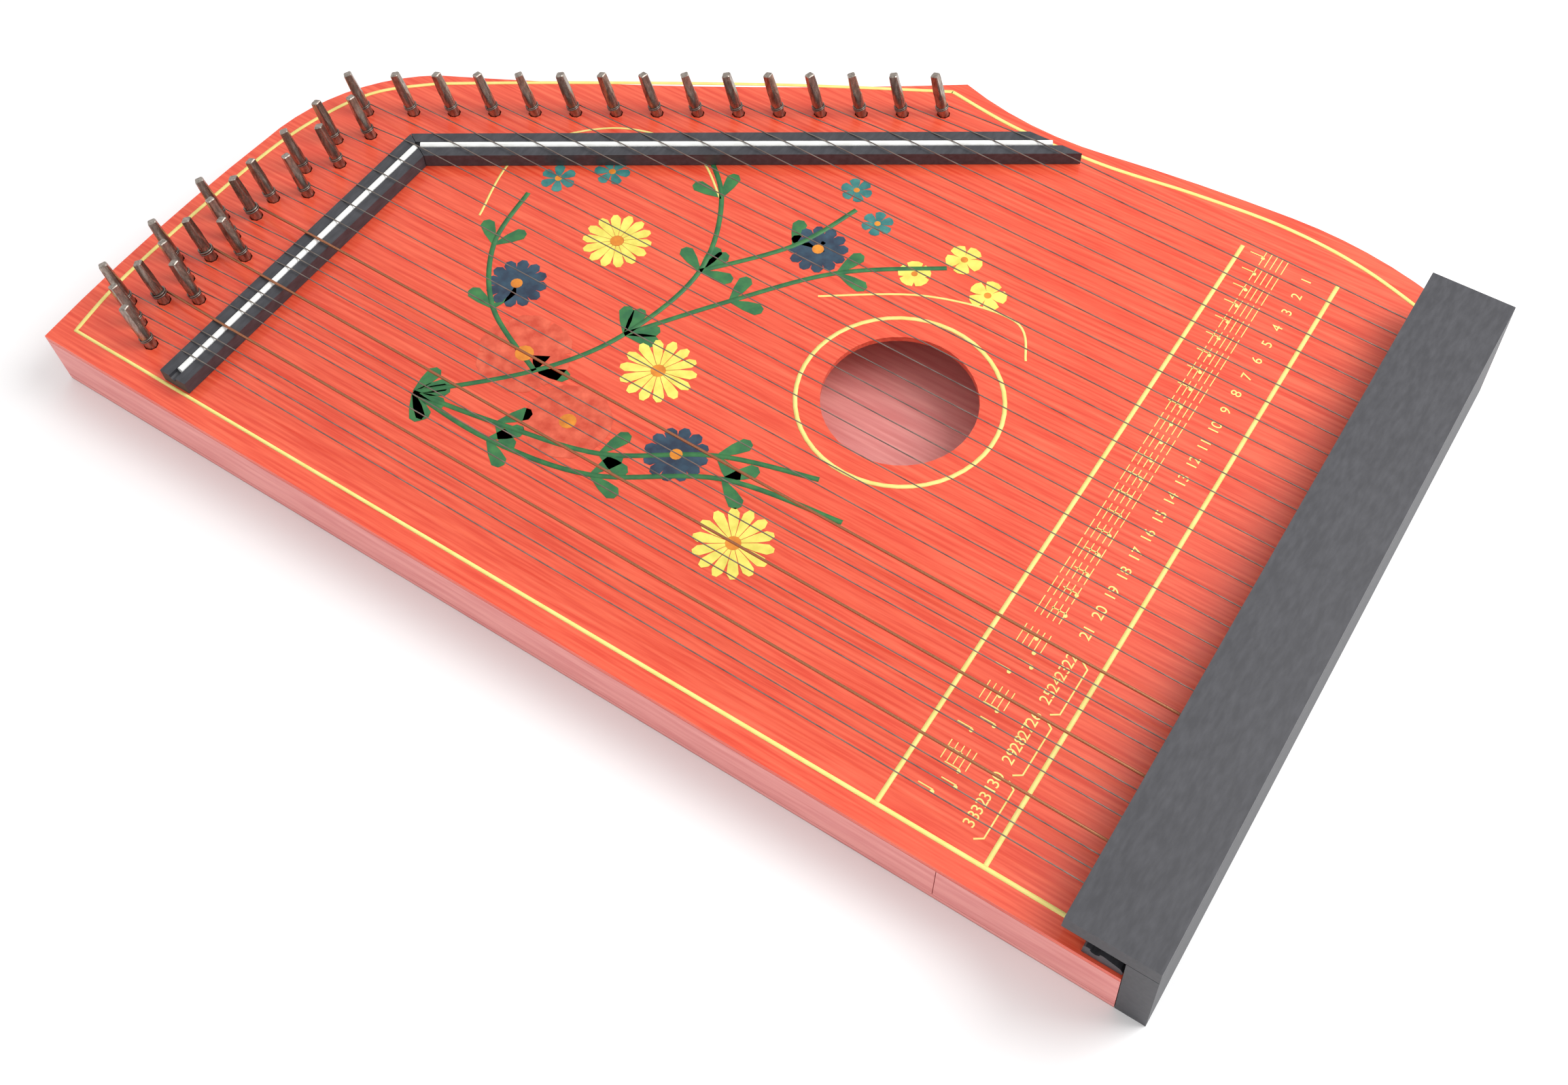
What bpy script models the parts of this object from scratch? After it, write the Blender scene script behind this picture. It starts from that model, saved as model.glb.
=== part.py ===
# A chord zither: a flat hollow body with an L-shaped bridge, 33 strings and 33 tuning pins.
# Plan coordinates start at the front left corner of the body. x runs along the strings to the
# tail, y from the player to the far side, z up from the table. All sizes are in metres.

import math

import bmesh
import bpy
from mathutils import Matrix, Vector

# Body
GAP = 0.0003                      # left between neighbouring pieces
BODY_HEIGHT = 0.0284
SOUNDBOARD = 0.0025               # thickness
BACK = 0.0030                     # thickness
RIB = 0.0050                      # thickness of the front and shoulder ribs
LEFT_EDGE = 0.135                 # where the left edge starts to round over
LEFT_BOW = 0.0026
CORNER = (0.040, 0.2085)          # end of the rounded corner
CORNER_BOW = 0.0104
PEAK = (0.2525, 0.3334)           # sharp corner at the end of the pin row
DIAGONAL_BOW = 0.0043
WAIST_END = (0.328, 0.3273)
WAIST_BOW = 0.0045
CREST = (0.412, 0.3356)
CREST_BOW = 0.0010
SHOULDER_END = 0.317              # far end of the tail face
SHOULDER_BOW = 0.0059
HITCH_BLOCK_START = 0.430
SHOULDER_RIB_START = 0.300
HOLE_CENTRE = (0.3186, 0.1620)
HOLE_RADIUS = 0.0321
BRACE_WIDTH = 0.008
SOUNDBOARD_BRACE = 0.011          # height
BACK_BRACE = 0.008                # height
BRACE_CLEARANCE = 0.0135          # from the sound hole's edge to a brace

# Bridge
BRIDGE_INNER_X = 0.0733
BRIDGE_WIDTH = 0.0137
BRIDGE_HEIGHT = 0.0062
BRIDGE_EDGE = 0.0007              # rounding of the top edges
BRIDGE_FOOT = 0.0105              # y of the near end
BRIDGE_TURN = 0.1606              # y of the inner corner
BRIDGE_ANGLE = math.radians(32.2)
BRIDGE_END = 0.3157               # y of the far end
ROD_RADIUS = 0.0015
ROD_PROUD = 0.0009                # height of the rod above the bridge
ROD_INSET = 0.0045                # from the bridge's near end to the rod

# Tail
TAIL_FOOT = 0.5130                # x of the tail block's outer face on the table
TAIL_LEAN = 0.080                 # how far its faces lean in for each metre of height
TAIL_BLOCK = 0.0116               # thickness
COVER_LEFT = 0.4748
COVER_TOP = 0.0512
COVER_BOARD = 0.0080              # thickness
COVER_LENGTH = 0.3155
RAIL_LEFT = 0.4836
RAIL_RIGHT = 0.4984
RAIL_HEIGHT = 0.0062
RAIL_FLAT = 0.0074                # width of the flat top
RAIL_END = 0.0012                 # from the body's near edge to the rail
RAIL_LENGTH = 0.3135
TAIL_ROD_X = 0.4878
STRIP_WIDTH = 0.0036
STRIP_THICKNESS = 0.0008
HITCH_PIN_RADIUS = 0.0007
HITCH_PIN_LENGTH = 0.0040
HITCH_HEIGHT = 0.0014             # of the string above the strip

# Tuning pins
PIN_RADIUS = 0.0025
PIN_ABOVE = 0.0210                # length above the soundboard, along the pin
PIN_BELOW = 0.0190
PIN_SHAFT = 0.0105                # round length above the soundboard
PIN_HEAD_FOOT = 0.0021            # half width of the square head at its foot
PIN_HEAD_TOP = 0.0018
PIN_TAPER = 0.0020                # length over which round turns to square
PIN_LEAN = math.radians(16)
PIN_CLEARANCE = 0.0003
PIN_SIDES = 8
HOLE_SIDES = 8
ROW_PINS = 14
ROW_START = (0.0464, 0.1837)
ROW_PITCH = (0.01586, 0.00980)
SIDE_PINS = 7
SIDE_START = 0.1725
SIDE_PITCH = 0.01055
SIDE_COLUMNS = (0.0282, 0.0392)
CHORDS = 3
BASS_PIN = (0.0288, 0.0976)
CHORD_PITCH = 0.0283
TRIO_START = (0.0172, 0.0086)     # x, and distance from the bass pin towards the player
TRIO_PITCH = (0.01205, 0.00585)

# Strings
PLAIN_WIRE = 0.0006               # diameters
BASS_WIRE = 0.0013
BASS_COIL_WIRE = 0.0009
SLEEVE_LOW = 0.0024               # the winding, from the board along the pin
SLEEVE_HIGH = 0.0053
COIL_FOOT = 0.0050                # height at which a string leaves its pin
STRING_START = 0.0030             # from the winding to the free string
BRIDGE_TOP_STRING = 0.3110        # y where the first string crosses the bridge
BRIDGE_STRING_PITCH = 0.00986
TURN_STRING = 15                  # first string on the left arm
SIDE_STRING_PITCH = 0.01066
TAIL_TOP_STRING = 0.3007
TAIL_STRING_PITCH = 0.00991
BRIDGE_BASS = 0.0977
BRIDGE_BASS_GAP = 0.0070
BRIDGE_TRIO_PITCH = 0.00587
TAIL_BASS = 0.0914
TAIL_CHORD_PITCH = 0.0275
TAIL_BASS_GAP = 0.0057
TAIL_TRIO_PITCH = 0.0057

BOARD_TOP = BODY_HEIGHT
INNER_FLOOR = BACK + GAP
INNER_TOP = BODY_HEIGHT - SOUNDBOARD - GAP
ROD_TOP = BOARD_TOP + GAP + BRIDGE_HEIGHT + ROD_PROUD
MELODY_STRINGS = ROW_PINS + SIDE_PINS


def outer_x(z):
    """x of the tail block's outer face at a height."""
    return TAIL_FOOT - TAIL_LEAN * z


def inner_x(z):
    return outer_x(z) - TAIL_BLOCK


def arc(start, end, bow, steps):
    """Points from start to end, without the last, on an arc that bows to the right of its chord."""
    start = Vector(start)
    end = Vector(end)
    chord = end - start
    half = chord.length / 2
    side = Vector((chord.y, -chord.x)).normalized()
    middle = (start + end) / 2
    radius = (half * half + bow * bow) / (2 * abs(bow))
    centre = middle - side * math.copysign(radius - abs(bow), bow)
    sweep = 2 * math.asin(half / radius) * math.copysign(1, bow)
    turned = []
    for step in range(steps):
        angle = sweep * step / steps
        turn = Matrix.Rotation(angle, 2)
        turned.append(centre + turn @ (start - centre))
    return turned


def far_edge(inset=0.0):
    """The far edge from the tail to the sharp corner, moved into the body by inset."""
    tail = (inner_x(0) + GAP, SHOULDER_END)
    line = arc(tail, CREST, SHOULDER_BOW, 8)
    line += arc(CREST, WAIST_END, CREST_BOW, 4)
    line += arc(WAIST_END, PEAK, -WAIST_BOW, 6)
    line.append(Vector(PEAK))
    moved = []
    for index, point in enumerate(line):
        before = line[max(index - 1, 0)]
        after = line[min(index + 1, len(line) - 1)]
        along = (after - before).normalized()
        moved.append(point + Vector((-along.y, along.x)) * inset)
    return moved


def outline(far_inset=0.0):
    """The body seen from above, anticlockwise from the front left corner."""
    points = [Vector((0, 0)), Vector((inner_x(0) + GAP, 0))]
    points += far_edge(far_inset)[:-1]
    points += arc(PEAK, CORNER, -DIAGONAL_BOW, 10)
    points += arc(CORNER, (0, LEFT_EDGE), CORNER_BOW, 10)
    points += arc((0, LEFT_EDGE), (0, 0), LEFT_BOW, 6)
    return points


def clip(points, through, along):
    """The part of a polygon to the left of a line."""
    through = Vector(through)
    side = Vector((-along[1], along[0]))
    kept = []
    for index, point in enumerate(points):
        before = points[index - 1]
        inside = (point - through).dot(side)
        was_inside = (before - through).dot(side)
        if inside * was_inside < 0:
            kept.append(before.lerp(point, was_inside / (was_inside - inside)))
        if inside >= 0:
            kept.append(point)
    return kept


def circle(centre, radius, sides):
    turns = [2 * math.pi * index / sides for index in range(sides)]
    return [Vector((centre[0] + radius * math.cos(t), centre[1] + radius * math.sin(t))) for t in turns]


PLAN = outline()
CENTRE = Vector((
    (min(p.x for p in PLAN) + TAIL_FOOT) / 2,
    max(p.y for p in PLAN) / 2,
    0,
))


def placed(x, y, z):
    """A plan point in the model's frame, whose origin is under the middle of the object."""
    return Vector((x, y, z)) - CENTRE


for old in list(bpy.data.objects):
    bpy.data.objects.remove(old, do_unlink=True)

PARTS = bpy.data.collections.new("chord_zither")
CUTTERS = bpy.data.collections.new("cutters")
for made in (PARTS, CUTTERS):
    bpy.context.scene.collection.children.link(made)


def material(name, colour, roughness, metallic=0.0):
    made = bpy.data.materials.new(name)
    made.use_nodes = True
    shader = made.node_tree.nodes["Principled BSDF"]
    shader.inputs["Base Color"].default_value = (*colour, 1)
    shader.inputs["Roughness"].default_value = roughness
    shader.inputs["Metallic"].default_value = metallic
    return made


LACQUER = material("red_lacquer", (0.72, 0.10, 0.04), 0.25)
SALMON = material("salmon_paint", (0.80, 0.35, 0.28), 0.45)
BARE_WOOD = material("bare_wood", (0.72, 0.60, 0.40), 0.70)
BLACK = material("black_paint", (0.030, 0.030, 0.034), 0.45)
WHITE_ROD = material("white_rod", (0.85, 0.85, 0.82), 0.25)
NICKEL = material("nickel_steel", (0.42, 0.39, 0.36), 0.30, 1.0)
STRING_STEEL = material("string_steel", (0.60, 0.58, 0.55), 0.30, 1.0)
COPPER = material("copper_winding", (0.60, 0.33, 0.20), 0.35, 1.0)


def add(name, mesh, finish=None, collection=PARTS):
    made = bpy.data.objects.new(name, mesh)
    collection.objects.link(made)
    if finish:
        mesh.materials.clear()
        mesh.materials.append(finish)
    if collection == CUTTERS:
        made.hide_render = True
        made.display_type = "WIRE"
    return made


def settled(made, finish=None):
    """The object as a plain mesh, with its curve or modifiers worked out and its doubles merged."""
    bpy.context.view_layer.update()
    graph = bpy.context.evaluated_depsgraph_get()
    mesh = bpy.data.meshes.new_from_object(made.evaluated_get(graph))
    name = made.name
    collection = made.users_collection[0]
    matrix = made.matrix_world.copy()
    bpy.data.objects.remove(made, do_unlink=True)
    sheet = bmesh.new()
    sheet.from_mesh(mesh)
    bmesh.ops.remove_doubles(sheet, verts=sheet.verts, dist=1e-7)
    sheet.to_mesh(mesh)
    sheet.free()
    result = add(name, mesh, finish, collection)
    result.matrix_world = matrix
    return result


def slab(name, rings, low, high, finish, collection=PARTS):
    """A flat solid between two heights. The first ring is its outline and the others are holes."""
    curve = bpy.data.curves.new(name, "CURVE")
    curve.dimensions = "2D"
    curve.fill_mode = "BOTH"
    curve.extrude = (high - low) / 2
    for ring in rings:
        spline = curve.splines.new("POLY")
        spline.points.add(len(ring) - 1)
        for point, spot in zip(spline.points, ring):
            point.co = (spot[0], spot[1], 0, 1)
        spline.use_cyclic_u = True
    made = add(name, curve, collection=collection)
    made.location = placed(0, 0, (low + high) / 2)
    return settled(made, finish)


def bar(name, profile, near, far, finish, collection=PARTS):
    """A bar along y with a profile given in x and z."""
    made = slab(name, [profile], -(far - near) / 2, (far - near) / 2, finish, collection)
    upright = Matrix(((1, 0, 0), (0, 0, -1), (0, 1, 0)))
    made.matrix_world = Matrix.Translation(placed(0, (near + far) / 2, 0)) @ upright.to_4x4()
    return made


def box(name, low, high, finish, collection=PARTS):
    ring = [(low[0], low[1]), (high[0], low[1]), (high[0], high[1]), (low[0], high[1])]
    return slab(name, [ring], low[2], high[2], finish, collection)


def rod(name, start, end, radius, sides, finish=None, collection=PARTS):
    """A cylinder between two plan points."""
    start = placed(*start)
    end = placed(*end)
    sheet = bmesh.new()
    bmesh.ops.create_cone(
        sheet, cap_ends=True, segments=sides, radius1=radius, radius2=radius, depth=(end - start).length
    )
    mesh = bpy.data.meshes.new(name)
    sheet.to_mesh(mesh)
    sheet.free()
    mesh.shade_smooth()
    mesh.set_sharp_from_angle(angle=math.radians(40))
    made = add(name, mesh, finish, collection)
    turn = Vector((0, 0, 1)).rotation_difference(end - start)
    made.matrix_world = Matrix.Translation((start + end) / 2) @ turn.to_matrix().to_4x4()
    return made


def wire(name, points, radius, resolution, collection):
    """A tube along points in the model's frame."""
    curve = bpy.data.curves.new(name, "CURVE")
    curve.dimensions = "3D"
    curve.bevel_depth = radius
    curve.bevel_resolution = resolution
    curve.use_fill_caps = True
    spline = curve.splines.new("POLY")
    spline.points.add(len(points) - 1)
    for point, spot in zip(spline.points, points):
        point.co = (*spot, 1)
    return settled(add(name, curve, collection=collection))


def joined(name, pieces, collection=CUTTERS):
    """Pieces put in one object in the model's frame, each still its own body."""
    sheet = bmesh.new()
    for piece in pieces:
        bpy.context.view_layer.update()
        mesh = piece.data
        mesh.transform(piece.matrix_world)
        sheet.from_mesh(mesh)
        bpy.data.objects.remove(piece, do_unlink=True)
    mesh = bpy.data.meshes.new(name)
    sheet.to_mesh(mesh)
    sheet.free()
    return add(name, mesh, collection=collection)


def combine(target, tool, operation):
    change = target.modifiers.new(tool.name, "BOOLEAN")
    change.operation = operation
    change.object = tool
    return change


def pin_layout():
    """(name, x, y, wire diameter on the pin) for each tuning pin, from the far end to the near one."""
    spots = []
    for index in reversed(range(ROW_PINS)):
        spots.append((ROW_START[0] + index * ROW_PITCH[0], ROW_START[1] + index * ROW_PITCH[1]))
    for index in range(SIDE_PINS):
        spots.append((SIDE_COLUMNS[index % 2], SIDE_START - index * SIDE_PITCH))
    pins = [(x, y, PLAIN_WIRE) for x, y in spots]
    for chord in range(CHORDS):
        bass_y = BASS_PIN[1] - chord * CHORD_PITCH
        pins.append((BASS_PIN[0], bass_y, BASS_COIL_WIRE))
        for index in range(3):
            x = TRIO_START[0] + index * TRIO_PITCH[0]
            pins.append((x, bass_y - TRIO_START[1] - index * TRIO_PITCH[1], PLAIN_WIRE))
    return pins


def string_ends():
    """(y at the bridge, y at the tail, wire diameter) for each string, in the order of the pins."""
    ends = []
    for index in range(MELODY_STRINGS):
        side = max(index - TURN_STRING, 0)
        bridge_y = BRIDGE_TOP_STRING - (index - side) * BRIDGE_STRING_PITCH - side * SIDE_STRING_PITCH
        ends.append((bridge_y, TAIL_TOP_STRING - index * TAIL_STRING_PITCH, PLAIN_WIRE))
    for chord in range(CHORDS):
        bridge_y = BRIDGE_BASS - chord * CHORD_PITCH
        tail_y = TAIL_BASS - chord * TAIL_CHORD_PITCH
        ends.append((bridge_y, tail_y, BASS_WIRE))
        for index in range(3):
            ends.append((
                bridge_y - BRIDGE_BASS_GAP - index * BRIDGE_TRIO_PITCH,
                tail_y - TAIL_BASS_GAP - index * TAIL_TRIO_PITCH,
                PLAIN_WIRE,
            ))
    return ends


PIN_AXIS = Vector((-math.sin(PIN_LEAN), 0, math.cos(PIN_LEAN)))
ALONG_BRIDGE = Vector((math.cos(BRIDGE_ANGLE), math.sin(BRIDGE_ANGLE)))
MITRE = Vector((-1, (1 - ALONG_BRIDGE.y) / ALONG_BRIDGE.x))   # for each metre of bridge width
TURN = Vector((BRIDGE_INNER_X, BRIDGE_TURN))
ROD_TURN = TURN + MITRE * (BRIDGE_WIDTH / 2)


def rod_crossing(y):
    """Plan point where a string at this y crosses the bridge rod."""
    if y <= ROD_TURN.y:
        return Vector((ROD_TURN.x, y))
    return ROD_TURN + ALONG_BRIDGE * ((y - ROD_TURN.y) / ALONG_BRIDGE.y)


def body_pieces():
    tail_cut_profile = [(inner_x(-0.01) - GAP, -0.01), (TAIL_FOOT + 0.02, -0.01)]
    tail_cut_profile += [(TAIL_FOOT + 0.02, COVER_TOP), (inner_x(COVER_TOP) - GAP, COVER_TOP)]
    tail_cut = bar("tail_cut", tail_cut_profile, -0.02, PEAK[1] + 0.03, None, CUTTERS)
    holes = []
    for index, (x, y, _) in enumerate(pin_layout()):
        foot = Vector((x, y, BOARD_TOP))
        top = foot + PIN_AXIS * 0.004
        bottom = foot - PIN_AXIS * (PIN_BELOW + 0.0015)
        holes.append(rod(f"hole_{index}", bottom, top, (PIN_RADIUS + PIN_CLEARANCE) / math.cos(math.pi / HOLE_SIDES),
                         HOLE_SIDES, collection=CUTTERS))
    pin_holes = joined("pin_holes", holes)

    sound_hole = circle(HOLE_CENTRE, HOLE_RADIUS, 40)
    soundboard = slab("soundboard", [PLAN, sound_hole], BOARD_TOP - SOUNDBOARD, BOARD_TOP, LACQUER)
    back = slab("back_panel", [PLAN], 0, BACK, SALMON)

    inner_line = TURN + Vector((ALONG_BRIDGE.y, -ALONG_BRIDGE.x)) * 0.002
    mitre_along = MITRE.normalized()
    left = clip(PLAN, (0, RIB + GAP), (1, 0))
    left = clip(left, (inner_line.x, 0), (0, 1))
    left = clip(left, inner_line - Vector((0, GAP)), mitre_along)
    left_block = slab("left_pin_block", [left], INNER_FLOOR, INNER_TOP, SALMON)
    diagonal = clip(PLAN, inner_line, ALONG_BRIDGE)
    diagonal = clip(diagonal, inner_line, -mitre_along)
    diagonal = clip(diagonal, (SHOULDER_RIB_START - GAP, 0), (0, 1))
    diagonal_block = slab("diagonal_pin_block", [diagonal], INNER_FLOOR, INNER_TOP, SALMON)

    front = (HITCH_BLOCK_START - GAP, RIB, INNER_TOP)
    box("front_rib", (0, 0, INNER_FLOOR), front, SALMON)
    hitch = clip(outline(RIB + GAP), (HITCH_BLOCK_START, 0), (0, -1))
    hitch_block = slab("hitch_block", [hitch], INNER_FLOOR, INNER_TOP, SALMON)
    band = far_edge() + list(reversed(far_edge(RIB)))
    shoulder = clip(band, (SHOULDER_RIB_START, 0), (0, -1))
    shoulder_rib = slab("shoulder_rib", [shoulder], INNER_FLOOR, INNER_TOP, SALMON)

    for piece in (soundboard, left_block, diagonal_block):
        combine(piece, pin_holes, "DIFFERENCE")
    for piece in (soundboard, back, hitch_block, shoulder_rib):
        combine(piece, tail_cut, "DIFFERENCE")


def braces():
    far = {}
    for side in ("left", "right"):
        offset = HOLE_RADIUS + BRACE_CLEARANCE
        x = HOLE_CENTRE[0] + (-offset - BRACE_WIDTH if side == "left" else offset)
        reach = TURN.y + (x - TURN.x) * ALONG_BRIDGE.y / ALONG_BRIDGE.x - 0.004
        if x > SHOULDER_RIB_START:
            near_points = [p.y for p in far_edge(RIB) if abs(p.x - x) < 0.03]
            reach = min(near_points) - 4 * GAP
        far[side] = (x, reach)
    for side, (x, reach) in far.items():
        box(f"soundboard_brace_{side}", (x, RIB + GAP, INNER_TOP - SOUNDBOARD_BRACE),
            (x + BRACE_WIDTH, reach, INNER_TOP), BARE_WOOD)
        box(f"back_brace_{side}", (x, RIB + GAP, INNER_FLOOR),
            (x + BRACE_WIDTH, reach, INNER_FLOOR + BACK_BRACE), BARE_WOOD)


def bridge_pieces():
    base = BOARD_TOP + GAP
    top = base + BRIDGE_HEIGHT
    outer_turn = TURN + MITRE * BRIDGE_WIDTH
    drop = Vector((0, GAP))
    left = [
        Vector((TURN.x - BRIDGE_WIDTH, BRIDGE_FOOT)),
        Vector((TURN.x, BRIDGE_FOOT)),
        TURN - drop,
        outer_turn - drop,
    ]
    inner_end = TURN + ALONG_BRIDGE * ((BRIDGE_END - TURN.y) / ALONG_BRIDGE.y)
    outer_end = outer_turn + ALONG_BRIDGE * ((BRIDGE_END - outer_turn.y) / ALONG_BRIDGE.y)
    diagonal = [TURN, inner_end, outer_end, outer_turn]
    rod_z = ROD_TOP - ROD_RADIUS
    rod_end = rod_crossing(BRIDGE_END - 0.0008)
    beyond = ALONG_BRIDGE * 0.01
    groove = ROD_RADIUS + GAP
    arms = {"left": left, "diagonal": diagonal}
    grooves = {
        "left": ((ROD_TURN.x, BRIDGE_FOOT - 0.01, rod_z), (ROD_TURN.x, ROD_TURN.y + 0.01, rod_z)),
        "diagonal": ((*(ROD_TURN - beyond), rod_z), (*(rod_end + beyond), rod_z)),
    }
    for side, ring in arms.items():
        arm = slab(f"bridge_{side}", [ring], base, top, BLACK)
        cutter = rod(f"rod_groove_{side}", *grooves[side], groove / math.cos(math.pi / 12), 12, collection=CUTTERS)
        combine(arm, cutter, "DIFFERENCE")
    near = (ROD_TURN.x, BRIDGE_FOOT + ROD_INSET, rod_z)
    rod("bridge_rod_left", near, (ROD_TURN.x, ROD_TURN.y - ROD_RADIUS, rod_z), ROD_RADIUS, 12, WHITE_ROD)
    start = ROD_TURN + ALONG_BRIDGE * ROD_RADIUS
    rod("bridge_rod_diagonal", (*start, rod_z), (*rod_end, rod_z), ROD_RADIUS, 12, WHITE_ROD)


def rail_slope():
    """(top, foot) of the rail's slope towards the tail, in x and z."""
    base = BOARD_TOP + GAP
    top = Vector((RAIL_LEFT + RAIL_FLAT, base + RAIL_HEIGHT))
    foot = Vector((RAIL_RIGHT - 0.0012, base + RAIL_HEIGHT - 0.0022))
    return top, foot


def tail_pieces():
    base = BOARD_TOP + GAP
    top, foot = rail_slope()
    edge = 0.0007
    profile = [
        (RAIL_LEFT, base), (RAIL_RIGHT, base), (RAIL_RIGHT, base + 0.0020), tuple(foot), tuple(top),
        (RAIL_LEFT + edge, top.y), (RAIL_LEFT, top.y - edge),
    ]
    rail = bar("tail_rail", profile, RAIL_END, RAIL_END + RAIL_LENGTH, BLACK)
    rod_z = ROD_TOP - ROD_RADIUS
    near = RAIL_END + ROD_INSET
    far = RAIL_END + RAIL_LENGTH - ROD_INSET
    cutter = rod("tail_groove", (TAIL_ROD_X, near - 0.02, rod_z), (TAIL_ROD_X, far + 0.02, rod_z),
                 (ROD_RADIUS + GAP) / math.cos(math.pi / 12), 12, collection=CUTTERS)
    combine(rail, cutter, "DIFFERENCE")
    rod("tail_rod", (TAIL_ROD_X, near, rod_z), (TAIL_ROD_X, far, rod_z), ROD_RADIUS, 12, WHITE_ROD)

    cover_foot = COVER_TOP - COVER_BOARD
    block_top = cover_foot - GAP
    block = [(inner_x(0), 0), (outer_x(0), 0), (outer_x(block_top), block_top), (inner_x(block_top), block_top)]
    bar("tail_block", block, 0, COVER_LENGTH, BLACK)
    board = [
        (COVER_LEFT, cover_foot), (outer_x(cover_foot), cover_foot),
        (outer_x(COVER_TOP), COVER_TOP), (COVER_LEFT, COVER_TOP),
    ]
    bar("cover_board", board, 0, COVER_LENGTH, BLACK)


def pin_mesh(name, head_turn, wire_radius):
    """A round shaft with the winding as a plain sleeve, which turns into a tapered square head."""
    sides = [math.pi / 8 + index * 2 * math.pi / PIN_SIDES for index in range(PIN_SIDES)]

    def ring(height, half, square):
        spots = []
        for angle in sides:
            reach = half / max(abs(math.cos(angle)), abs(math.sin(angle))) if square else half
            reach = reach * 1.15 if square else reach
            turned = angle + head_turn
            spots.append(Vector((reach * math.cos(turned), reach * math.sin(turned), height)))
        return spots

    sleeve = PIN_RADIUS + 2 * wire_radius
    rings = [
        ring(-PIN_BELOW, PIN_RADIUS, False),
        ring(SLEEVE_LOW - 0.0002, PIN_RADIUS, False),
        ring(SLEEVE_LOW, sleeve, False),
        ring(SLEEVE_HIGH, sleeve, False),
        ring(SLEEVE_HIGH + 0.0002, PIN_RADIUS, False),
        ring(PIN_SHAFT, PIN_RADIUS, False),
        ring(PIN_SHAFT + PIN_TAPER, PIN_HEAD_FOOT, True),
        ring(PIN_ABOVE, PIN_HEAD_TOP, True),
    ]
    sheet = bmesh.new()
    loops = [[sheet.verts.new(spot) for spot in spots] for spots in rings]
    for lower, upper in zip(loops, loops[1:]):
        for index in range(PIN_SIDES):
            after = (index + 1) % PIN_SIDES
            sheet.faces.new((lower[index], lower[after], upper[after], upper[index]))
    sheet.faces.new(reversed(loops[0]))
    sheet.faces.new(loops[-1])
    mesh = bpy.data.meshes.new(name)
    sheet.to_mesh(mesh)
    sheet.free()
    mesh.shade_smooth()
    mesh.set_sharp_from_angle(angle=math.radians(35))
    return mesh


def tuning_pins():
    lean = Matrix.Rotation(-PIN_LEAN, 4, "Y")
    for index, (x, y, thickness) in enumerate(pin_layout()):
        name = f"tuning_pin_{index + 1:02d}"
        pin = add(name, pin_mesh(name, math.radians(23 * index % 90), thickness / 2), NICKEL)
        pin.matrix_world = Matrix.Translation(placed(x, y, BOARD_TOP)) @ lean


def string_points(pin, ends):
    x, y, coil_wire = pin
    bridge_y, tail_y, thickness = ends
    exit_point = Vector((x, y, BOARD_TOP)) + PIN_AXIS * COIL_FOOT
    exit_point.y += PIN_RADIUS + coil_wire / 2
    level = ROD_TOP + GAP + thickness / 2
    crossing = rod_crossing(bridge_y)
    over_bridge = Vector((crossing.x, crossing.y, level))
    over_tail = Vector((TAIL_ROD_X, tail_y, level))
    start = exit_point + (over_bridge - exit_point).normalized() * (STRING_START + thickness / 2)
    top, foot = rail_slope()
    slope = (foot - top).normalized()
    normal = Vector((-slope.y, slope.x))
    hitch = (top + foot) / 2 + normal * (GAP + STRIP_THICKNESS + HITCH_HEIGHT)
    return [start, over_bridge, over_tail, Vector((hitch.x, tail_y, hitch.y))]


def string_set(name, strings, finish):
    """Strings of one set, with their hitch pins and the strip that holds the pins."""
    top, foot = rail_slope()
    slope = (foot - top).normalized()
    normal = Vector((-slope.y, slope.x))
    middle = (top + foot) / 2 + normal * GAP
    low = middle - slope * STRIP_WIDTH / 2
    high = middle + slope * STRIP_WIDTH / 2
    rise = normal * STRIP_THICKNESS
    near = strings[-1][0][3].y - 0.0018
    far = strings[0][0][3].y + 0.0018
    made = bar(name, [tuple(low), tuple(high), tuple(high + rise), tuple(low + rise)], near, far, finish)
    pins = []
    wires = []
    for index, (points, thickness) in enumerate(strings):
        y = points[3].y
        seat = middle + rise * 0.5
        tip = middle + rise + normal * HITCH_PIN_LENGTH
        pins.append(rod(f"{name}_pin_{index}", (seat.x, y, seat.y), (tip.x, y, tip.y), HITCH_PIN_RADIUS, 8,
                        collection=CUTTERS))
        route = [placed(*point) for point in points]
        wires.append(wire(f"{name}_wire_{index}", route, thickness / 2, 0, CUTTERS))
    combine(made, joined(f"{name}_pins", pins), "UNION")
    combine(made, joined(f"{name}_wires", wires), "UNION")


def strings():
    rows = [(string_points(pin, ends), ends[2]) for pin, ends in zip(pin_layout(), string_ends())]
    string_set("melody_strings", rows[:MELODY_STRINGS], STRING_STEEL)
    for chord in range(CHORDS):
        first = MELODY_STRINGS + chord * 4
        string_set(f"chord_strings_{chord + 1}", rows[first:first + 4], COPPER)


body_pieces()
braces()
bridge_pieces()
tail_pieces()
tuning_pins()
strings()
print("frame origin in plan, mm:", round(CENTRE.x * 1000, 3), round(CENTRE.y * 1000, 3))
print("size, mm:", round((TAIL_FOOT - min(p.x for p in PLAN)) * 1000, 2), round(CENTRE.y * 2000, 2), COVER_TOP * 1000)
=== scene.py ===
import math

import bmesh
import bpy
from mathutils import Matrix, Vector


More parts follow.
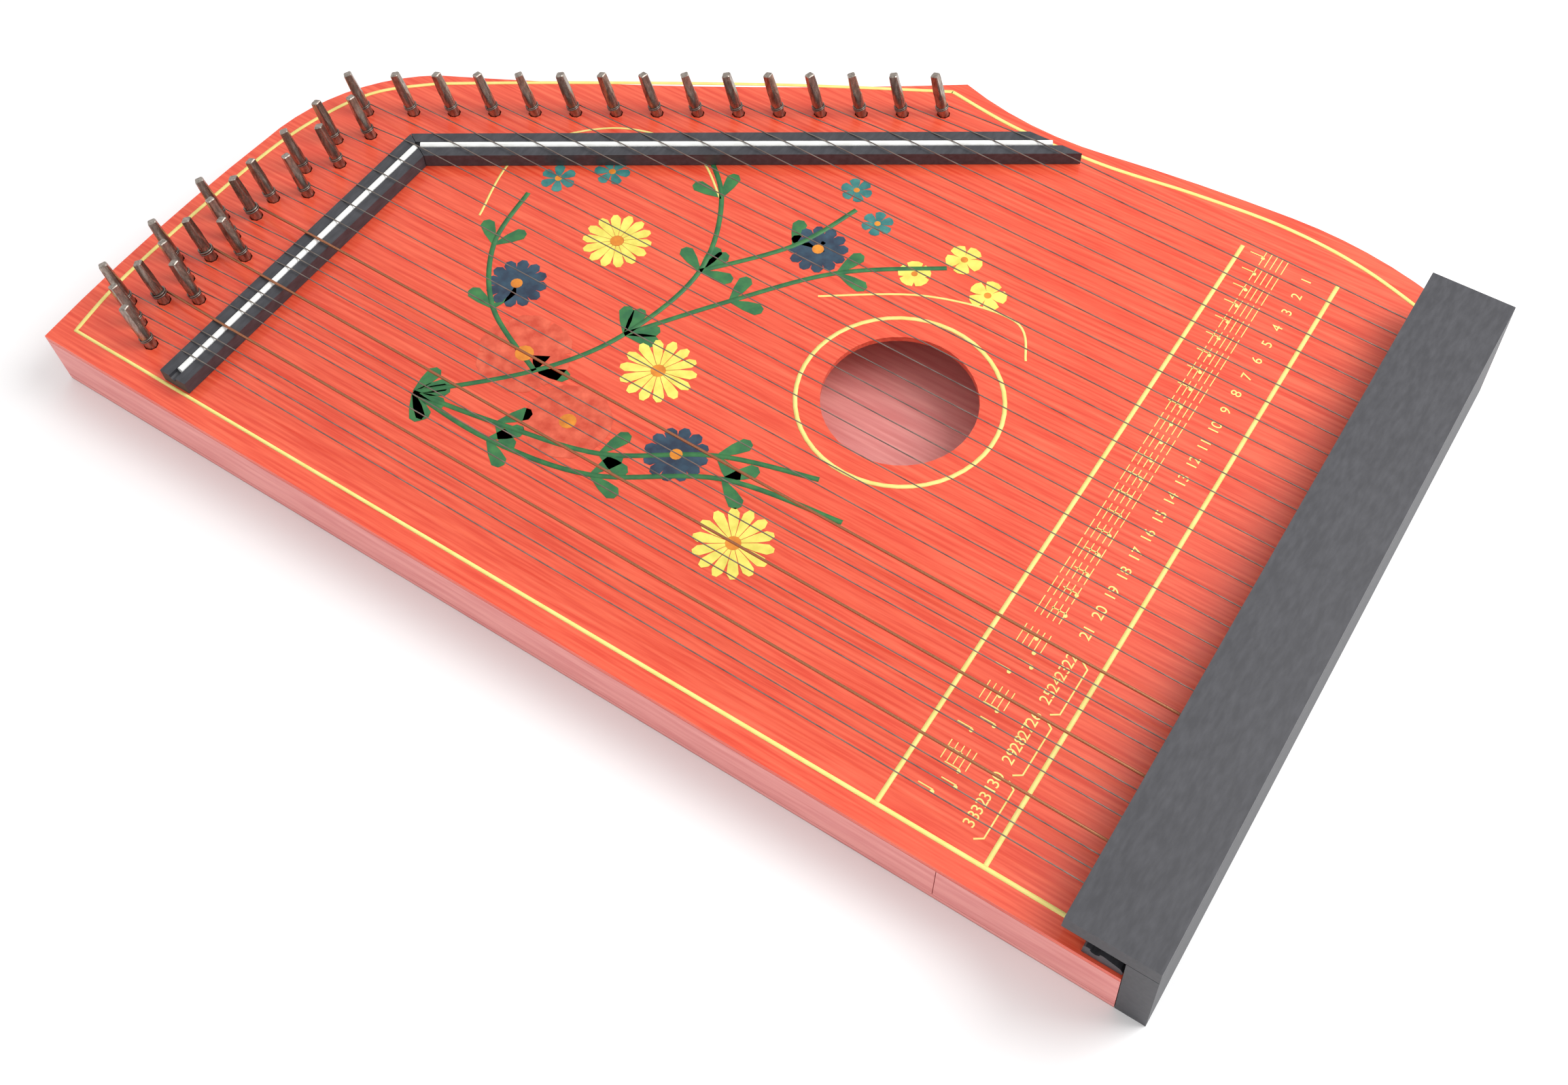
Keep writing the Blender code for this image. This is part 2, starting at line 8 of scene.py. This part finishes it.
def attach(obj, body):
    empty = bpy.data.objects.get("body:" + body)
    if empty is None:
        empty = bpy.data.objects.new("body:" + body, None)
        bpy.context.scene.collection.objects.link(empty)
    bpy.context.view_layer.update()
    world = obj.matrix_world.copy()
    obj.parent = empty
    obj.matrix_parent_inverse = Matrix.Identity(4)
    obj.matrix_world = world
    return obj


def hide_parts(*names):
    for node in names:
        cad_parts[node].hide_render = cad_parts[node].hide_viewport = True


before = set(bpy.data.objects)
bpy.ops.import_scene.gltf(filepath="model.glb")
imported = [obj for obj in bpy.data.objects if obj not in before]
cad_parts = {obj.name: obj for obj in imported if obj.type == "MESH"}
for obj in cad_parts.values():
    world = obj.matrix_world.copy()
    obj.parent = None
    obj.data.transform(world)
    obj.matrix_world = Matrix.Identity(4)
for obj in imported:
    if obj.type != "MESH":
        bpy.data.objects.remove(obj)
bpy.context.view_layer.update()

mm = 0.001
middle = Vector((255.2, 167.914, 0))
boardTop = 28.4
scene = bpy.context.scene


# A plan point in millimetres as a point of the frame in metres.
def spot(x, y, z=0.0):
    return (Vector((x, y, z)) - middle) * mm


# A shader socket that takes part in sums.
class Wire:
    def __init__(self, tree, socket):
        self.tree = tree
        self.socket = socket

    def join(self, kind, first, second=0.0):
        node = self.tree.nodes.new("ShaderNodeMath")
        node.operation = kind
        for entry, value in zip(node.inputs, (first, second)):
            if isinstance(value, Wire):
                self.tree.links.new(value.socket, entry)
            else:
                entry.default_value = value
        return Wire(self.tree, node.outputs[0])

    def __add__(self, other):
        return self.join("ADD", self, other)

    def __sub__(self, other):
        return self.join("SUBTRACT", self, other)

    def __rsub__(self, other):
        return self.join("SUBTRACT", other, self)

    def __mul__(self, other):
        return self.join("MULTIPLY", self, other)

    def __gt__(self, other):
        return self.join("GREATER_THAN", self, other)

    __radd__ = __add__
    __rmul__ = __mul__


# A colour of 0 to 255 for each channel, as the linear values that a shader takes.
def linear(colour):
    shares = [channel / 255 for channel in colour]
    return (*[s / 12.92 if s <= 0.0404 else ((s + 0.055) / 1.055) ** 2.4 for s in shares], 1)


# A colour mix node, as its factor, first colour, second colour and result.
def colourMix(tree):
    node = tree.nodes.new("ShaderNodeMix")
    node.data_type = "RGBA"
    return node.inputs[0], node.inputs[6], node.inputs[7], node.outputs[2]


# A material whose colour runs between two tones along its grain. Painted shade darkens it above and below two
# heights, along the top and bottom edges of the sides.
def finish(name, colour, other=None, roughness=0.4, metallic=0.0, coat=0.0, stretch=(1, 1, 1), scale=200,
           edgeShade=None):
    grainMix = {"start": 0.35, "contrast": 2.5, "roughening": 0.12}
    made = bpy.data.materials.new(name)
    made.use_nodes = True
    tree = made.node_tree
    shader = tree.nodes["Principled BSDF"]
    place = tree.nodes.new("ShaderNodeTexCoord")
    mapping = tree.nodes.new("ShaderNodeMapping")
    mapping.inputs["Scale"].default_value = stretch
    tree.links.new(place.outputs["Object"], mapping.inputs["Vector"])
    noise = tree.nodes.new("ShaderNodeTexNoise")
    noise.inputs["Scale"].default_value = scale
    noise.inputs["Detail"].default_value = 4
    tree.links.new(mapping.outputs["Vector"], noise.inputs["Vector"])
    grain = Wire(tree, noise.outputs["Fac"])
    factor, first, second, result = colourMix(tree)
    first.default_value = linear(colour)
    second.default_value = linear(other or [min(255, channel * 1.08 + 4) for channel in colour])
    tree.links.new(((grain - grainMix["start"]) * grainMix["contrast"]).socket, factor)
    if edgeShade:
        split = tree.nodes.new("ShaderNodeSeparateXYZ")
        tree.links.new(place.outputs["Object"], split.inputs[0])
        height = Wire(tree, split.outputs[2])
        # Painted shade: the colour darkens in bands above the high height and below the low height.
        shadeBand = (height > edgeShade["high"] * mm) + (edgeShade["low"] * mm - height > 0)
        factor, first, second, darkened = colourMix(tree)
        tree.links.new((shadeBand * edgeShade["strength"]).socket, factor)
        tree.links.new(result, first)
        second.default_value = linear(edgeShade["colour"])
        result = darkened
    tree.links.new(result, shader.inputs["Base Color"])
    rough = grain * grainMix["roughening"] + (roughness - grainMix["roughening"] / 2)
    tree.links.new(rough.socket, shader.inputs["Roughness"])
    shader.inputs["Metallic"].default_value = metallic
    shader.inputs["Coat Weight"].default_value = coat
    return made


# Painted shade along the top edge of the sides and along the floor line at their bottom.
sideEdgeShade = {"high": 27.9, "low": 0.7, "strength": 0.5, "colour": (120, 60, 55)}
finishes = {
    "lacquer": {"colour": (222, 66, 38), "other": (248, 108, 74), "roughness": 0.38, "coat": 0.25,
                "stretch": (0.04, 1, 1), "scale": 700},
    "salmon": {"colour": (222, 132, 128), "other": (243, 165, 158), "roughness": 0.5,
               "stretch": (0.05, 1, 0.6), "scale": 500, "edgeShade": sideEdgeShade},
    "bare": {"colour": (214, 202, 160), "other": (232, 222, 186), "roughness": 0.7,
             "stretch": (0.1, 1, 1), "scale": 300},
    "black": {"colour": (52, 52, 57), "other": (70, 70, 75), "roughness": 0.5,
              "stretch": (1, 0.3, 1), "scale": 500},
    "rod": {"colour": (235, 236, 232), "roughness": 0.3, "coat": 0.3},
    "nickel": {"colour": (178, 168, 158), "other": (120, 108, 100), "roughness": 0.28, "metallic": 1,
               "stretch": (1, 1, 0.3), "scale": 900},
    "steel": {"colour": (150, 140, 132), "other": (110, 100, 95), "roughness": 0.35, "metallic": 1},
    "copper": {"colour": (190, 130, 95), "other": (150, 95, 70), "roughness": 0.35, "metallic": 1,
               "stretch": (12, 1, 1), "scale": 900},
    "yellow": {"colour": (250, 232, 140), "other": (242, 220, 120), "roughness": 0.5},
    "leaf": {"colour": (38, 104, 62), "other": (66, 134, 72), "roughness": 0.5},
    "navy": {"colour": (34, 48, 70), "other": (52, 84, 104), "roughness": 0.5},
    "teal": {"colour": (40, 112, 112), "other": (78, 150, 140), "roughness": 0.5},
    "petal": {"colour": (246, 236, 112), "other": (226, 208, 84), "roughness": 0.5},
    "poppy": {"colour": (206, 70, 44), "other": (238, 110, 80), "roughness": 0.5},
    "heart": {"colour": (238, 150, 40), "other": (200, 110, 30), "roughness": 0.5},
}
looks = {name: finish(name, **values) for name, values in finishes.items()}
sideNodes = ("back_panel", "front_rib", "hitch_block", "shoulder_rib", "left_pin_block", "diagonal_pin_block")
for name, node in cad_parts.items():
    look = "black"
    if name == "soundboard":
        look = "lacquer"
    elif "brace" in name:
        look = "bare"
    elif "rod" in name:
        look = "rod"
    elif name in sideNodes:
        look = "salmon"
    elif name.startswith("tuning_pin"):
        look = "nickel"
    node.data.materials.clear()
    node.data.materials.append(looks[look])
print("materials done")


# A mesh as a piece that rides on a body.
def keep(name, mesh, look, body="body"):
    made = bpy.data.objects.new(name, mesh)
    scene.collection.objects.link(made)
    if look:
        mesh.materials.clear()
        mesh.materials.append(looks[look])
    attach(made, body)
    return made


# A node tree that turns edges into tubes, or into flat ribbons on the board.
def sweepTree(radius, look, flat, turns):
    ribbonThickness = 0.12
    tree = bpy.data.node_groups.new("sweep", "GeometryNodeTree")
    tree.interface.new_socket("Geometry", in_out="INPUT", socket_type="NodeSocketGeometry")
    tree.interface.new_socket("Geometry", in_out="OUTPUT", socket_type="NodeSocketGeometry")
    if flat:
        profile = tree.nodes.new("GeometryNodeCurvePrimitiveQuadrilateral")
        profile.inputs[0].default_value = radius * 2 * mm
        profile.inputs[1].default_value = ribbonThickness * mm
    else:
        profile = tree.nodes.new("GeometryNodeCurvePrimitiveCircle")
        profile.inputs["Resolution"].default_value = turns
        profile.inputs["Radius"].default_value = radius * mm
    normal = tree.nodes.new("GeometryNodeSetCurveNormal")
    normal.mode = "Z_UP" if flat else "MINIMUM_TWIST"
    along = tree.nodes.new("GeometryNodeCurveToMesh")
    along.inputs["Fill Caps"].default_value = True
    paint = tree.nodes.new("GeometryNodeSetMaterial")
    paint.inputs["Material"].default_value = looks[look]
    row = [
        tree.nodes.new("NodeGroupInput"),
        tree.nodes.new("GeometryNodeMeshToCurve"),
        normal,
        along,
        tree.nodes.new("GeometryNodeRealizeInstances"),
        paint,
        tree.nodes.new("NodeGroupOutput"),
    ]
    for node, after in zip(row, row[1:]):
        tree.links.new(node.outputs[0], after.inputs[0])
    tree.links.new(profile.outputs[0], along.inputs[1])
    return tree


# One piece made of a tube or ribbon along each path, which is a list of points of the frame.
def sweep(name, paths, radius, look, body="body", flat=False, turns=8, closed=False):
    points = []
    edges = []
    for path in paths:
        first = len(points)
        points += [tuple(point) for point in path]
        edges += [(first + i, first + i + 1) for i in range(len(path) - 1)]
        if closed:
            edges.append((len(points) - 1, first))
    mesh = bpy.data.meshes.new(name)
    mesh.from_pydata(points, edges, [])
    guide = bpy.data.objects.new(name + "Guide", mesh)
    scene.collection.objects.link(guide)
    guide.modifiers.new("sweep", "NODES").node_group = sweepTree(radius, look, flat, turns)
    graph = bpy.context.evaluated_depsgraph_get()
    solid = bpy.data.meshes.new_from_object(guide.evaluated_get(graph))
    bpy.data.objects.remove(guide, do_unlink=True)
    if not flat:
        solid.shade_smooth()
    return keep(name, solid, None, body)


chords = 3
chordStep = 28.3
rowPins = {"count": 14, "x": 46.4, "y": 183.7, "stepX": 15.86, "stepY": 9.80}
sidePins = {"count": 7, "columns": (28.2, 39.2), "y": 172.5, "step": 10.55}
bassPin = {"x": 28.8, "y": 97.6}
trioPins = {"x": 17.2, "stepX": 12.05, "gap": 8.6, "stepY": 5.85}
pinSpots = []
for k in reversed(range(rowPins["count"])):
    pinSpots.append((rowPins["x"] + k * rowPins["stepX"], rowPins["y"] + k * rowPins["stepY"]))
for k in range(sidePins["count"]):
    pinSpots.append((sidePins["columns"][k % 2], sidePins["y"] - k * sidePins["step"]))
melodyCount = len(pinSpots)
for chord in range(chords):
    bassY = bassPin["y"] - chord * chordStep
    pinSpots.append((bassPin["x"], bassY))
    for k in range(3):
        trioY = bassY - trioPins["gap"] - k * trioPins["stepY"]
        pinSpots.append((trioPins["x"] + k * trioPins["stepX"], trioY))
bassPins = tuple(melodyCount + 4 * chord for chord in range(chords))

pin = {"radius": 2.5, "sides": 24, "corner": 1.3, "lean": math.radians(16), "headTurn": 23,
       # height above the board, half width and whether square, from the bottom to the top
       "rings": ((-19, 2.5, 0), (0, 2.5, 0), (10.2, 2.5, 0), (12, 2.05, 1), (20.6, 1.75, 1), (21, 1.5, 1))}
winding = {"start": 2.9, "plain": 0.6, "bass": 0.9, "space": 0.12, "perTurn": 12, "turns": 2.5, "sides": 6}
pinUp = Vector((-math.sin(pin["lean"]), 0, math.cos(pin["lean"])))


# A round shaft, then a long tapered square head.
def pinMesh(turned):
    shape = bmesh.new()
    rings = []
    sides = pin["sides"]
    for height, half, square in pin["rings"]:
        ring = []
        for step in range(sides):
            angle = (step * 2 + 1) * math.pi / sides
            reach = half
            if square:
                flat = max(abs(math.cos(angle)), abs(math.sin(angle)))
                reach = min(half / flat, half * pin["corner"])
            turn = angle + turned
            point = Vector((math.cos(turn) * reach, math.sin(turn) * reach, height)) * mm
            ring.append(shape.verts.new(point))
        rings.append(ring)
    for low, high in zip(rings, rings[1:]):
        for step in range(sides):
            after = (step + 1) % sides
            shape.faces.new((low[step], low[after], high[after], high[step]))
    shape.faces.new(reversed(rings[0]))
    shape.faces.new(rings[-1])
    mesh = bpy.data.meshes.new("pin")
    shape.to_mesh(mesh)
    shape.free()
    mesh.shade_smooth()
    mesh.set_sharp_from_angle(angle=math.radians(30))
    return mesh


exits = []
for index, (x, y) in enumerate(pinSpots):
    number = f"{index + 1:02d}"
    thick = winding["bass"] if index in bassPins else winding["plain"]
    place = Matrix.Translation(spot(x, y, boardTop)) @ Matrix.Rotation(-pin["lean"], 4, "Y")
    mesh = pinMesh(math.radians(pin["headTurn"] * index % 90))
    mesh.transform(place)
    shaft = keep("pinShaft" + number, mesh, "nickel", "pin_" + number)
    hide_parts("tuning_pin_" + number)
    reach = pin["radius"] + thick / 2
    coil = []
    for step in range(round(winding["turns"] * winding["perTurn"]) + 1):
        turn = step / winding["perTurn"]
        angle = math.pi / 2 + turn * 2 * math.pi
        height = winding["start"] + turn * (thick + winding["space"])
        coil.append(place @ (Vector((reach * math.cos(angle), reach * math.sin(angle), height)) * mm))
    sweep("pinWinding" + number, [coil], thick / 2, "steel", "pin_" + number, turns=winding["sides"])
    exits.append(Vector((x, y, boardTop)) + pinUp * winding["start"] + Vector((0, reach, 0)))
print("pins done")

bridge = {"rodTop": 35.8, "rodX": 66.4, "turnY": 164.2, "slope": 0.633, "top": 311, "step": 9.86,
          "sideFrom": 15, "sideStep": 10.66, "bass": 97.7, "trio": 90.7, "trioStep": 5.87}
tail = {"rodX": 487.8, "top": 300.7, "step": 9.91, "bass": 91.4, "trio": 85.7, "trioStep": 5.7,
        "chordStep": 27.5, "hitchX": 494.3, "hitchZ": 35.6}
ends = []
for index in range(melodyCount):
    late = max(index - bridge["sideFrom"], 0)
    bridgeY = bridge["top"] - (index - late) * bridge["step"] - late * bridge["sideStep"]
    ends.append((bridgeY, tail["top"] - index * tail["step"]))
for chord in range(chords):
    bridgeDrop = chord * chordStep
    tailDrop = chord * tail["chordStep"]
    ends.append((bridge["bass"] - bridgeDrop, tail["bass"] - tailDrop))
    for k in range(3):
        bridgeY = bridge["trio"] - bridgeDrop - k * bridge["trioStep"]
        ends.append((bridgeY, tail["trio"] - tailDrop - k * tail["trioStep"]))

plainString = {"diameter": 0.55, "start": 0.6, "sides": 6}
bassString = {"diameter": 1.2, "start": 1.2, "sides": 8}
plain = []
bass = []
for index, ((bridgeY, tailY), leave) in enumerate(zip(ends, exits)):
    kind = bassString if index in bassPins else plainString
    crossX = bridge["rodX"] + max(bridgeY - bridge["turnY"], 0) / bridge["slope"]
    level = bridge["rodTop"] + kind["diameter"] / 2
    over = Vector((crossX, bridgeY, level))
    start = leave + (over - leave).normalized() * kind["start"]
    hitch = Vector((tail["hitchX"], tailY, tail["hitchZ"]))
    path = [start, over, Vector((tail["rodX"], tailY, level)), hitch]
    (bass if index in bassPins else plain).append([spot(*point) for point in path])
wires = sweep("plainStrings", plain, plainString["diameter"] / 2, "steel", turns=plainString["sides"])
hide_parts("melody_strings", "chord_strings_1", "chord_strings_2", "chord_strings_3")
sweep("bassStrings", bass, bassString["diameter"] / 2, "copper", turns=bassString["sides"])
hitchPin = {"low": 34.2, "high": 37.6, "topX": 494.9, "radius": 0.8}
hitches = []
for _, tailY in ends:
    foot = spot(tail["hitchX"], tailY, hitchPin["low"])
    hitches.append([foot, spot(hitchPin["topX"], tailY, hitchPin["high"])])
sweep("hitchPins", hitches, hitchPin["radius"], "nickel", turns=8)
hitchStrip = {"near": 3, "far": 304, "z": 34.3, "radius": 0.5}
strip = [spot(tail["hitchX"], y, hitchStrip["z"]) for y in (hitchStrip["near"], hitchStrip["far"])]
sweep("hitchStrip", [strip], hitchStrip["radius"], "nickel", turns=8)
print("strings done")

printLift = 0.06
printDepth = 0.05
printed = boardTop + printLift


# Points on the board from one angle to another round a centre.
def arcOf(x, y, radius, start=0, stop=360, steps=48):
    angles = [math.radians(start + (stop - start) * k / steps) for k in range(steps + 1)]
    return [spot(x + radius * math.cos(a), y + radius * math.sin(a), printed) for a in angles]


# A smooth line on the board through plan points.
def curveOf(corners, steps=10):
    line = []
    last = len(corners) - 1
    for index in range(last):
        a, b, c, d = [Vector(corners[max(0, min(last, index + k))]) for k in (-1, 0, 1, 2)]
        for step in range(steps):
            t = step / steps
            square = (a * 2 - b * 5 + c * 4 - d) * t * t
            cube = (b * 3 - a - c * 3 + d) * t * t * t
            p = b * 2 + (c - a) * t + square + cube
            line.append(spot(p.x / 2, p.y / 2, printed))
    line.append(spot(*corners[-1], printed))
    return line


stripe = {
    "half": 0.9,
    "near": 9.1,
    "right": 492,
    "left": [(9, 9.1), (5, 40), (4.6, 90), (6.8, 135), (13.5, 165), (24, 186), (44, 204.5)],
    "row": [(44, 204.5), (100, 240), (180, 288), (249, 325.6)],
    "far": [(249, 325.6), (285, 320.5), (328, 320.7), (370, 326), (412, 328.8), (450, 324.5), (492, 311)],
}
outlineWire = [spot(stripe["right"], stripe["near"], printed)]
outlineWire += curveOf(stripe["left"]) + curveOf(stripe["row"]) + curveOf(stripe["far"])
sweep("pinstripe", [outlineWire], stripe["half"], "yellow", flat=True)
ring = {"x": 318.6, "y": 162, "radius": 42.1, "points": 48}
ringLine = arcOf(ring["x"], ring["y"], ring["radius"], 0, 352.5, ring["points"] - 1)
sweep("holeRing", [ringLine], stripe["half"], "yellow", flat=True, closed=True)
scaleLine = {"xs": (400.3, 443.2), "near": 10, "far": 310}
scaleYs = (scaleLine["near"], scaleLine["far"])
scaleLines = [[spot(x, y, printed) for y in scaleYs] for x in scaleLine["xs"]]
sweep("scaleLines", scaleLines, stripe["half"], "yellow", flat=True)

staffLine = {"x": 410.5, "step": 2.5, "lines": 5, "near": 4.4, "far": 3.9, "half": 0.2}
note = {"melodyShift": 7, "chordShift": 4, "rise": 0.52, "chordX": 4, "chordRise": 2, "radius": 0.85,
        "stemLength": 6, "stemY": 0.8, "stemHalf": 0.25}
staff = []
notes = []
stems = []
for index, (_, tailY) in enumerate(ends):
    melody = index < melodyCount
    place = (index - melodyCount) % 4
    y = tailY + (note["melodyShift"] if melody else note["chordShift"])
    if melody or place == 0:
        for k in range(staffLine["lines"]):
            lineX = staffLine["x"] + k * staffLine["step"]
            near = spot(lineX, y - staffLine["near"], printed)
            staff.append([near, spot(lineX, y + staffLine["far"], printed)])
    rise = index * note["rise"] if melody else note["chordX"] + (index % 4) * note["chordRise"]
    x = staffLine["x"] + rise
    notes.append(arcOf(x, y, note["radius"], 0, 315, 7))
    stemY = y + note["stemY"]
    stems.append([spot(x, stemY, printed), spot(x - note["stemLength"], stemY, printed)])
sweep("staffLines", staff, staffLine["half"], "yellow", flat=True)
sweep("noteStems", stems, note["stemHalf"], "yellow", flat=True)


# Thin printed shapes, each given as an outline of points of the frame.
def patches(name, shapes, look):
    shape = bmesh.new()
    for outline in shapes:
        face = shape.faces.new([shape.verts.new(point) for point in outline])
        if face.normal.z < 0:
            face.normal_flip()
        grown = bmesh.ops.extrude_face_region(shape, geom=[face])
        for vert in grown["geom"]:
            if isinstance(vert, bmesh.types.BMVert):
                vert.co.z += printDepth * mm
    bmesh.ops.recalc_face_normals(shape, faces=shape.faces)
    mesh = bpy.data.meshes.new(name)
    shape.to_mesh(mesh)
    shape.free()
    return keep(name, mesh, look)


patches("noteHeads", notes, "yellow")
label = {"x": 433, "melodyShift": 5, "chordShift": 2.6, "size": 6.2}
joined = bmesh.new()
for index, (_, tailY) in enumerate(ends):
    text = bpy.data.curves.new("mark", "FONT")
    text.body = str(index + 1)
    text.size = label["size"] * mm
    text.extrude = printDepth * mm
    text.align_x = "CENTER"
    made = bpy.data.objects.new("mark", text)
    scene.collection.objects.link(made)
    shift = label["melodyShift"] if index < melodyCount else label["chordShift"]
    made.matrix_world = (
        Matrix.Translation(spot(label["x"], tailY + shift, printed)) @ Matrix.Rotation(math.pi / 2, 4, "Z")
    )
    bpy.context.view_layer.update()
    mesh = bpy.data.meshes.new_from_object(made.evaluated_get(bpy.context.evaluated_depsgraph_get()))
    mesh.transform(made.matrix_world)
    joined.from_mesh(mesh)
    bpy.data.objects.remove(made, do_unlink=True)
mesh = bpy.data.meshes.new("numbers")
joined.to_mesh(mesh)
joined.free()
keep("numbers", mesh, "yellow")
bracket = {"corners": [(435, 96), (438, 94), (438, 73), (435, 71)], "half": 0.35}
brackets = []
for chord in range(chords):
    brackets.append([spot(x, y - chord * tail["chordStep"], printed) for x, y in bracket["corners"]])
sweep("brackets", brackets, bracket["half"], "yellow", flat=True)
print("print done")


# Rounded petals about a point, on three levels.
def petals(x, y, count, inner, outer, width, turn=0.0):
    found = []
    levelStep = 0.002
    profile = (
        (inner, 0.25),
        (0.45 * outer + 0.55 * inner, 0.8),
        (0.85 * outer, 1),
        (outer, 0.4),
    )
    for index in range(count):
        angle = turn + index * 2 * math.pi / count
        along = Vector((math.cos(angle), math.sin(angle)))
        across = Vector((-along.y, along.x))
        shape = [along * reach - across * half * width for reach, half in profile]
        shape += [along * reach + across * half * width for reach, half in reversed(profile)]
        found.append([spot(x + p.x, y + p.y, printed + levelStep * (index % 3)) for p in shape])
    return found


vine = {
    "half": 1.1,
    "paths": [
        [(150, 60), (185, 95), (205, 130), (212, 175), (196, 215), (170, 238)],
        [(205, 130), (232, 168), (262, 205), (300, 232)],
        [(185, 95), (150, 112), (128, 140), (122, 172)],
        [(150, 60), (190, 58), (235, 66), (280, 92), (330, 100)],
        [(150, 60), (188, 66), (232, 76), (272, 100), (312, 112)],
        [(212, 175), (238, 208), (250, 240)],
    ],
}
sweep("vines", [curveOf(path) for path in vine["paths"]], vine["half"], "leaf", flat=True)
leaf = {"length": 15, "half": 3.2, "spread": 0.7}
leaves = []
for path in vine["paths"]:
    for first, second in zip(path, path[1:]):
        run = Vector(second) - Vector(first)
        heading = math.atan2(run.y, run.x)
        for side in (leaf["spread"], -leaf["spread"]):
            leaves += petals(*first, 1, 1, leaf["length"], leaf["half"], heading + side)
patches("leaves", leaves, "leaf")
# Each flower is x, y, number of petals, inner reach and outer reach.
groups = {
    "daisies": {"look": "petal", "half": 2.3,
                "flowers": [(172, 170, 14, 3, 15), (228, 122, 14, 3, 16), (300, 70, 14, 3, 16)]},
    "poppies": {"look": "poppy", "half": 9, "flowers": [(176, 100, 6, 2, 20), (212, 82, 6, 2, 18)]},
    "cornflowers": {"look": "navy", "half": 2.6,
                    "flowers": [(248, 212, 12, 2, 13), (150, 128, 12, 2, 13), (258, 92, 12, 2, 13)]},
    "bells": {"look": "teal", "half": 2.4,
              "flowers": [(128, 186, 6, 1, 8), (146, 202, 6, 1, 8), (262, 238, 6, 1, 7),
                          (244, 250, 6, 1, 7)]},
    "buttercups": {"look": "petal", "half": 3.4,
                   "flowers": [(304, 240, 5, 1, 8), (322, 228, 5, 1, 8), (290, 222, 5, 1, 7)]},
}
flowerTurn = 0.4
heart = {"share": 0.2, "lift": 0.06}
hearts = []
for name, group in groups.items():
    shapes = []
    for index, (x, y, count, inner, outer) in enumerate(group["flowers"]):
        shapes += petals(x, y, count, inner, outer, group["half"], index * flowerTurn)
        edgePoints = arcOf(x, y, outer * heart["share"], 0, 330, 11)
        hearts.append([point + Vector((0, 0, heart["lift"] * mm)) for point in edgePoints])
    patches(name, shapes, group["look"])
patches("hearts", hearts, "heart")
scroll = {
    "half": 0.5,
    "paths": [
        [(112, 150), (104, 190), (130, 224), (168, 232), (196, 214)],
        [(262, 190), (300, 214), (338, 222), (352, 206)],
    ],
}
sweep("scrolls", [curveOf(path) for path in scroll["paths"]], scroll["half"], "yellow", flat=True)
print("flowers done")

floorHalf = 4
corners = [(-floorHalf, -floorHalf, 0), (floorHalf, -floorHalf, 0), (floorHalf, floorHalf, 0)]
corners.append((-floorHalf, floorHalf, 0))
floorMesh = bpy.data.meshes.new("floor")
floorMesh.from_pydata(corners, [], [(0, 1, 2, 3)])
floor = bpy.data.objects.new("floor", floorMesh)
scene.collection.objects.link(floor)
floorLook = bpy.data.materials.new("floor")
floorLook.use_nodes = True
shader = floorLook.node_tree.nodes["Principled BSDF"]
shader.inputs["Base Color"].default_value = (0.95, 0.95, 0.95, 1)
shader.inputs["Roughness"].default_value = 0.9
floorMesh.materials.append(floorLook)

scene.view_settings.view_transform = "Standard"
world = bpy.data.worlds.new("sky")
scene.world = world
world.use_nodes = True
sky = world.node_tree.nodes["Background"]
sky.inputs["Color"].default_value = (1, 1, 1, 1)
sky.inputs["Strength"].default_value = 0.85
window = {"energy": 14, "size": 0.9, "place": (0.75, 0.55, 1.1)}
lampData = bpy.data.lights.new("window", "AREA")
lampData.energy = window["energy"]
lampData.size = window["size"]
lamp = bpy.data.objects.new("window", lampData)
scene.collection.objects.link(lamp)
lamp.location = window["place"]
lamp.rotation_euler = (-Vector(window["place"])).to_track_quat("-Z", "Y").to_euler()

lens = {"focal": 36.43, "near": 0.01, "place": (496.544, -178.716, 541.995)}
cameraData = bpy.data.cameras.new("camera")
cameraData.lens = lens["focal"]
cameraData.clip_start = lens["near"]
camera = bpy.data.objects.new("camera", cameraData)
scene.collection.objects.link(camera)
right = Vector((0.83796364, 0.54539654, -0.01896176))
down = Vector((0.45638057, -0.7194015, -0.52362034))
ahead = Vector((-0.29922184, 0.43012103, -0.85174069))
turn = Matrix((right, -down, -ahead)).transposed().to_4x4()
camera.matrix_world = Matrix.Translation(spot(*lens["place"])) @ turn
scene.camera = camera
print("camera and light done")
